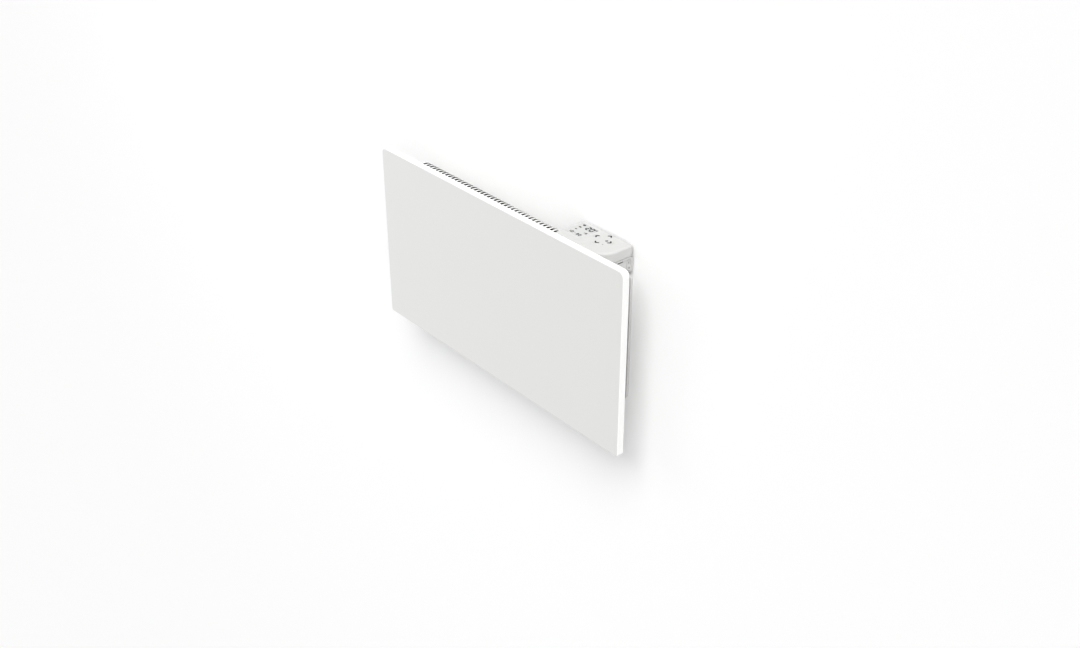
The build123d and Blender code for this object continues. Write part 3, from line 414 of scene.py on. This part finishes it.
def brick(x0, x1, y0, y1, z0, z1):
    """A block between two corners, in metres."""
    start_clean()
    middle = ((x0 + x1) / 2, (y0 + y1) / 2, (z0 + z1) / 2)
    bpy.ops.mesh.primitive_cube_add(size=1, location=middle)
    piece = bpy.context.object
    piece.scale = (x1 - x0, y1 - y0, z1 - z0)
    settle()
    return piece


def turned_bar(radius, z0, z1, sides):
    """An upright round bar on the Z axis, in metres."""
    start_clean()
    bpy.ops.mesh.primitive_cylinder_add(
        vertices=sides, radius=radius, depth=z1 - z0, location=(0, 0, (z0 + z1) / 2),
    )
    settle()
    return bpy.context.object


def combine(piece, other, operation):
    """One solid added to another ("UNION") or taken out of it ("DIFFERENCE"); the other goes."""
    take_up(piece)
    step = piece.modifiers.new("combine", "BOOLEAN")
    step.operation = operation
    step.solver = "EXACT"
    step.object = other
    bpy.ops.object.modifier_apply(modifier=step.name)
    bpy.data.objects.remove(other)
    return piece


def gathered(pieces):
    """Pieces joined into one object."""
    start_clean()
    for piece in pieces:
        piece.select_set(True)
    bpy.context.view_layer.objects.active = pieces[0]
    if len(pieces) > 1:
        bpy.ops.object.join()
    return bpy.context.object


def placed_copy(piece, place, turn):
    """A copy of a piece modelled at the origin, turned and set in its place."""
    copy = piece.copy()
    copy.data = piece.data.copy()
    bpy.context.scene.collection.objects.link(copy)
    take_up(copy)
    copy.location = place
    copy.rotation_euler = turn
    settle()
    return copy


def joined(name, pieces, material, body):
    """Pieces joined into one named piece that rides on a body."""
    piece = gathered(pieces)
    piece.name = name
    piece.data.name = name
    piece.data.materials.clear()
    piece.data.materials.append(material)
    for face in piece.data.polygons:
        face.material_index = 0
    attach(piece, body)
    return piece


# ------------------------------------------------------------------ printed marks and digits
PRINT_HEIGHT = 0.05 * MM


def bar(x0, y0, x1, y1, width, z, height=PRINT_HEIGHT):
    """A thin stroke with rounded ends between two plan points, in metres."""
    start_clean()
    length = math.hypot(x1 - x0, y1 - y0) + width * 0.5
    bpy.ops.mesh.primitive_cube_add(size=1)
    stroke = bpy.context.object
    stroke.scale = (length, width, height)
    settle()
    round_off(stroke, lambda a, b: abs(a.z - b.z) > height / 2, width * 0.42, 3)
    stroke.location = ((x0 + x1) / 2, (y0 + y1) / 2, z)
    stroke.rotation_euler = (0, 0, math.atan2(y1 - y0, x1 - x0))
    settle()
    return stroke


def printed_ring(x, y, z, radius, width):
    """A flat printed ring."""
    start_clean()
    bpy.ops.mesh.primitive_circle_add(
        vertices=36, radius=radius, fill_type="NGON", location=(x, y, z),
    )
    ring = bpy.context.object
    settle()
    bpy.ops.object.mode_set(mode="EDIT")
    bpy.ops.mesh.select_all(action="SELECT")
    bpy.ops.mesh.inset(thickness=width)
    bpy.ops.mesh.delete(type="FACE")
    bpy.ops.mesh.select_all(action="SELECT")
    bpy.ops.mesh.extrude_region_move(TRANSFORM_OT_translate={"value": (0, 0, PRINT_HEIGHT)})
    bpy.ops.mesh.select_all(action="SELECT")
    bpy.ops.mesh.normals_make_consistent(inside=False)
    bpy.ops.object.mode_set(mode="OBJECT")
    return ring


def plan_middle(low, high):
    """The middle of a box, seen from above."""
    return Vector(((low.x + high.x) / 2, (low.y + high.y) / 2))


CHEVRON_TIP = 1.9 * MM
CHEVRON_ARM = 4.0 * MM
CHEVRON_WIDTH = 2.8 * MM
DISH_DEPTH = 0.25 * MM
ARROW_HEIGHT = DISH_DEPTH + 0.02 * MM
ARROW_MIDDLE = KEY_TOP - 0.004 * MM - ARROW_HEIGHT / 2
ARROW_TURNS = (180, 0, 90, 270)


def make_chevrons():
    """The dark arrow in the middle of each key's dish, its point away from the ring's centre."""
    for key, turn in zip(KEYS, ARROW_TURNS):
        angle = math.radians(turn)
        along = Vector((math.cos(angle), math.sin(angle)))
        across = Vector((-math.sin(angle), math.cos(angle)))
        tip = plan_middle(*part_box(key)) + along * CHEVRON_TIP
        arms = []
        for side in (-1, 1):
            tail = tip - along * CHEVRON_ARM + across * side * CHEVRON_ARM
            arms.append(bar(*tip, *tail, CHEVRON_WIDTH, ARROW_MIDDLE, ARROW_HEIGHT))
        arrow = combine(arms[0], arms[1], "UNION")
        joined("print_" + key, [arrow], INK, key + "_body")


SEGMENT_LINES = {
    "a": ((0, 1), (1, 1)), "b": ((1, 1), (1, 0.5)), "c": ((1, 0.5), (1, 0)), "d": ((0, 0), (1, 0)),
    "e": ((0, 0.5), (0, 0)), "f": ((0, 1), (0, 0.5)), "g": ((0, 0.5), (1, 0.5)),
}
DIGIT_SEGMENTS = {"0": "abcdef", "1": "bc", "2": "abged", "3": "abgcd", "5": "afgcd"}


def digit(text, x, y, width, height, stroke):
    """Seven-segment strokes of one figure, its lower left corner at (x, y)."""
    gap = stroke * 0.3
    made = []
    for name in DIGIT_SEGMENTS[text]:
        (ax, ay), (bx, by) = SEGMENT_LINES[name]
        start = Vector((x + ax * width, y + ay * height))
        end = Vector((x + bx * width, y + by * height))
        pull = (end - start).normalized() * gap
        start += pull
        end -= pull
        made.append(bar(*start, *end, stroke, CAP_TOP))
    return made


def dash(x0, x1, y, width):
    """A level stroke on the display, in millimetres."""
    return bar(x0 * MM, y * MM, x1 * MM, y * MM, width * MM, CAP_TOP)


def figures(text, left, pitch, foot, width, height, stroke):
    """A row of figures on the display, in millimetres; a colon is left open."""
    made = []
    for i, figure in enumerate(text):
        if figure == ":":
            continue
        x = (left + pitch * i) * MM
        made += digit(figure, x, foot * MM, width * MM, height * MM, stroke * MM)
    return made


def make_display_marks():
    """Plain figures on the display: set value, two small values, the clock and three mode marks."""
    strokes = figures("20", 184.5, 9.4, -27, 6.0, 10.5, 2.7)
    strokes.append(printed_ring(203.6 * MM, -17.2 * MM, CAP_TOP, 2.0 * MM, 1.2 * MM))
    strokes += figures("15", 192.2, 5.6, -40, 3.2, 3.8, 1.6)
    strokes += figures("10:30", 168.3, 6.5, -52.6, 3.8, 5.2, 1.9)
    for y in (-51.2, -48.6):
        strokes.append(dash(183.0, 183.5, y, 1.5))
    for y, width in ((-38, 2.4), (-28, 3.6), (-18, 4.8)):
        strokes.append(dash(171.0, 175.0, y, width))
    joined("display_figures", strokes, SEGMENTS, "heater")


def make_hood_marks():
    """The small printed ring between the keys."""
    ring = printed_ring(243.2 * MM, -29.9 * MM, CAP_TOP, 2.6 * MM, 1.5 * MM)
    joined("print_ring", [ring], INK, "heater")


ROCKER_PIVOT = Vector((0.275, -0.012, 0.1516))
ON_MARK = Vector((5.96, 0, 5.5)) * MM
OFF_MARK = Vector((7.10, 0, -3.87)) * MM
FLUSH_HALF = (0, math.radians(90), 0)
RAISED_HALF = (0, math.radians(76), 0)


def make_rocker_marks():
    """ON and OFF signs on the rocker: a line on its flush half, a ring on its raised half."""
    line = bar(-1.7 * MM, 0, 1.7 * MM, 0, 0.8 * MM, 0)
    ring = printed_ring(0, 0, -PRINT_HEIGHT / 2, 1.7 * MM, 0.65 * MM)
    marks = [
        placed_copy(line, ROCKER_PIVOT + ON_MARK, FLUSH_HALF),
        placed_copy(ring, ROCKER_PIVOT + OFF_MARK, RAISED_HALF),
    ]
    for pattern in (line, ring):
        bpy.data.objects.remove(pattern)
    joined("print_rocker", marks, INK, "rocker_body")


# ------------------------------------------------------------------ rubber domes under the keys
DOME_FOOT = 4.8 * MM
DOME_CROWN = 2.6 * MM
DOME_WALL = 0.7 * MM
DOME_GAP = 0.02 * MM


def blunt_cone(inset, height, drop):
    """The dome's cone, smaller all round by an inset and moved down by a drop."""
    start_clean()
    bpy.ops.mesh.primitive_cone_add(
        vertices=28, radius1=DOME_FOOT - inset, radius2=DOME_CROWN - inset, depth=height,
        location=(0, 0, height / 2 - drop),
    )
    settle()
    return bpy.context.object


def rubber_dome(height):
    """One hollow rubber dome with a rounded crown, its foot on the origin's plane."""
    dome = blunt_cone(0, height, 0)
    round_off(dome, lambda a, b: min(a.z, b.z) > height - TINY, DOME_WALL / 2, 3)
    combine(dome, blunt_cone(DOME_WALL, height, DOME_WALL), "DIFFERENCE")
    take_up(dome)
    bpy.ops.object.shade_smooth_by_angle(angle=math.radians(35))
    return dome


def make_domes():
    """A hollow rubber dome under each key, in place of the part's own dome."""
    low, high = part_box("dome_key_left")
    height = high.z - low.z - DOME_GAP
    pattern = rubber_dome(height)
    for key in KEYS:
        low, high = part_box("dome_" + key)
        foot = Vector((*plan_middle(low, high), low.z))
        dome = placed_copy(pattern, foot, (0, 0, 0))
        piece = joined("rubber_dome_" + key, [dome], SLOTS["silicone"], "heater")
        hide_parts("dome_" + key)
        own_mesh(piece)
    bpy.data.objects.remove(pattern)


# ------------------------------------------------------------------ fasteners with cross recesses
HEAD_BACK = (-math.pi / 2, 0, 0)
HEAD_DOWN = (math.pi, 0, 0)
CASING_SCREWS = [(x, -83.8, z) for z in (181.0, -171.0) for x in (-240.0, -80.0, 80.0, 240.0)]
SHELF_SCREWS = ((165.5, -8.6, 165.0), (275.6, -28.6, 165.0), (275.6, -9.0, 165.0))
BOARD_SCREWS = (
    (212.5, -54.0, 180.4), (212.5, -10.0, 180.4), (267.0, -50.0, 180.4), (267.0, -10.0, 180.4),
)
COVER_SCREWS = ((211.0, -2.8, 143.2), (211.0, -2.8, 161.0), (248.0, -2.8, 161.0))
BOSS_SCREWS = ((211.5, -22.0, 151.0), (239.5, -22.0, 151.0))


def pan_screw(head_radius, head_height, shank_radius, shank_length):
    """One pan-head screw with a cross recess: its seat at the origin, its head up."""
    head = turned_bar(head_radius, 0, head_height, 28)
    crown = head_height - TINY
    round_off(head, lambda a, b: a.z > crown and b.z > crown, head_height * 0.6, 4, 0.55)
    recess_floor = head_height - head_height * 0.6
    arm = head_radius * 0.62
    half = head_radius * 0.13
    for reach_x, reach_y in ((arm, half), (half, arm)):
        slot = brick(-reach_x, reach_x, -reach_y, reach_y, recess_floor, head_height + MM)
        pick_edges(slot, lambda a, b: a.z < head_height and b.z < head_height)
        bpy.ops.transform.resize(value=(0.8, 0.8, 1))
        bpy.ops.object.mode_set(mode="OBJECT")
        combine(head, slot, "DIFFERENCE")
    shank = turned_bar(shank_radius, -shank_length, 0, 20)
    point = TINY - shank_length
    round_off(shank, lambda a, b: a.z < point and b.z < point, shank_radius * 0.35, 1)
    return gathered([head, shank])


def screw_row(sizes, places, turn):
    """One screw copied to places; its sizes and the places are given in millimetres."""
    pattern = pan_screw(*[size * MM for size in sizes])
    copies = [placed_copy(pattern, Vector(place) * MM, turn) for place in places]
    bpy.data.objects.remove(pattern)
    return copies


def make_screws():
    """The casing's screws and the control unit's screws, each with its recess."""
    row = screw_row((3.2, 1.8, 1.6, 3.0), CASING_SCREWS, HEAD_BACK)
    piece = joined("casing_screw_row", row, SLOTS["screw_steel"], "heater")
    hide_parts("casing_screws")
    row = screw_row((2.7, 1.4, 1.2, 15.0), SHELF_SCREWS, HEAD_DOWN)
    row += screw_row((2.0, 1.1, 0.9, 4.6), BOARD_SCREWS, HEAD_DOWN)
    row += screw_row((2.5, 0.6, 1.2, 10.2), COVER_SCREWS, HEAD_BACK)
    row += screw_row((3.0, 1.6, 1.6, 15.0), BOSS_SCREWS, HEAD_BACK)
    piece = joined("control_screw_set", row, SLOTS["screw_steel"], "heater")
    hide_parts("control_screws")


# ------------------------------------------------------------------ stage, light and camera
WALL_WIDTH = 30
WALL_GAP = 0.0006
FILL_PLACE = Vector((-1.0, -1.3, 0.9))
CAMERA_PLACE = (1.7437, -1.4463, 1.2251)
CAMERA_AZIMUTH = math.radians(49.83)
CAMERA_ELEVATION = math.radians(30.217)
# Each soft light: its name, the direction towards it, its strength and its width in degrees.
SUNS = (
    ("key_light", (0.33, -0.53, 0.78), 2.3, 36),
    ("side_light", (0.85, -0.50, 0.15), 0.5, 50),
    ("back_light", (-0.30, 0.70, 0.65), 1.3, 60),
)


def make_wall_material():
    """Pale wall that isn't there, for sight or for light, once a ray has come through its back."""
    material, shader = new_material("stage wall")
    tree = material.node_tree
    shader.inputs["Base Color"].default_value = (0.985, 0.985, 0.985, 1)
    shader.inputs["Roughness"].default_value = 0.9
    shader.inputs["Specular IOR Level"].default_value = 0.1
    clear = tree.nodes.new("ShaderNodeBsdfTransparent")
    mix = tree.nodes.new("ShaderNodeMixShader")
    side = tree.nodes.new("ShaderNodeNewGeometry")
    path = tree.nodes.new("ShaderNodeLightPath")
    passed = maths(tree, "MAXIMUM", side.outputs["Backfacing"], path.outputs["Transparent Depth"])
    passed = maths(tree, "MINIMUM", passed, 1.0)
    tree.links.new(passed, mix.inputs["Fac"])
    tree.links.new(shader.outputs["BSDF"], mix.inputs[1])
    tree.links.new(clear.outputs["BSDF"], mix.inputs[2])
    tree.links.new(mix.outputs["Shader"], tree.nodes["Material Output"].inputs["Surface"])
    return material


def make_stage():
    """The wall that the heater hangs on."""
    start_clean()
    bpy.ops.mesh.primitive_plane_add(
        size=1, location=(0, WALL_GAP, 0), rotation=(math.pi / 2, 0, 0),
    )
    wall = bpy.context.object
    wall.name = "stage_wall"
    wall.scale = (WALL_WIDTH, WALL_WIDTH, 1)
    settle()
    wall.data.materials.append(make_wall_material())


def place_lamp(data, direction):
    """A lamp in the scene that shines from a direction, given as a vector towards the lamp."""
    lamp = bpy.data.objects.new(data.name, data)
    bpy.context.scene.collection.objects.link(lamp)
    lamp.rotation_euler = Vector(direction).to_track_quat("Z", "Y").to_euler()
    return lamp


def make_lamps():
    """Soft even lights, and a large weak panel of light that lifts the front's left side."""
    for name, direction, strength, softness in SUNS:
        data = bpy.data.lights.new(name, "SUN")
        data.energy = strength
        data.angle = math.radians(softness)
        place_lamp(data, direction)
    data = bpy.data.lights.new("fill_light", "AREA")
    data.size = 1.0
    data.energy = 2.8
    place_lamp(data, FILL_PLACE).location = FILL_PLACE


def white_light(tree, strength):
    """A white background shader's output."""
    node = tree.nodes.new("ShaderNodeBackground")
    node.inputs["Color"].default_value = (1, 1, 1, 1)
    node.inputs["Strength"].default_value = strength
    return node.outputs["Background"]


def make_world():
    """Even pale surroundings, white to the camera and in reflections."""
    world = bpy.data.worlds.new("studio")
    bpy.context.scene.world = world
    world.use_nodes = True
    tree = world.node_tree
    tree.nodes.remove(tree.nodes["Background"])
    path = tree.nodes.new("ShaderNodeLightPath")
    seen = maths(tree, "MAXIMUM", path.outputs["Is Camera Ray"], path.outputs["Is Glossy Ray"])
    seen = maths(tree, "MAXIMUM", seen, path.outputs["Is Transmission Ray"])
    mix = tree.nodes.new("ShaderNodeMixShader")
    tree.links.new(seen, mix.inputs["Fac"])
    tree.links.new(white_light(tree, 0.515), mix.inputs[1])
    tree.links.new(white_light(tree, 1.0), mix.inputs[2])
    tree.links.new(mix.outputs["Shader"], tree.nodes["World Output"].inputs["Surface"])


def make_camera():
    """The camera of the photograph."""
    data = bpy.data.cameras.new("photo_camera")
    data.lens = 44.7
    data.sensor_width = 36
    camera = bpy.data.objects.new("photo_camera", data)
    bpy.context.scene.collection.objects.link(camera)
    camera.location = CAMERA_PLACE
    camera.rotation_euler = (math.pi / 2 - CAMERA_ELEVATION, 0, CAMERA_AZIMUTH)
    bpy.context.scene.camera = camera


dress_part()
make_chevrons()
make_display_marks()
make_hood_marks()
make_rocker_marks()
make_domes()
make_screws()
make_stage()
make_world()
make_lamps()
make_camera()
bpy.context.scene.view_settings.view_transform = "Standard"
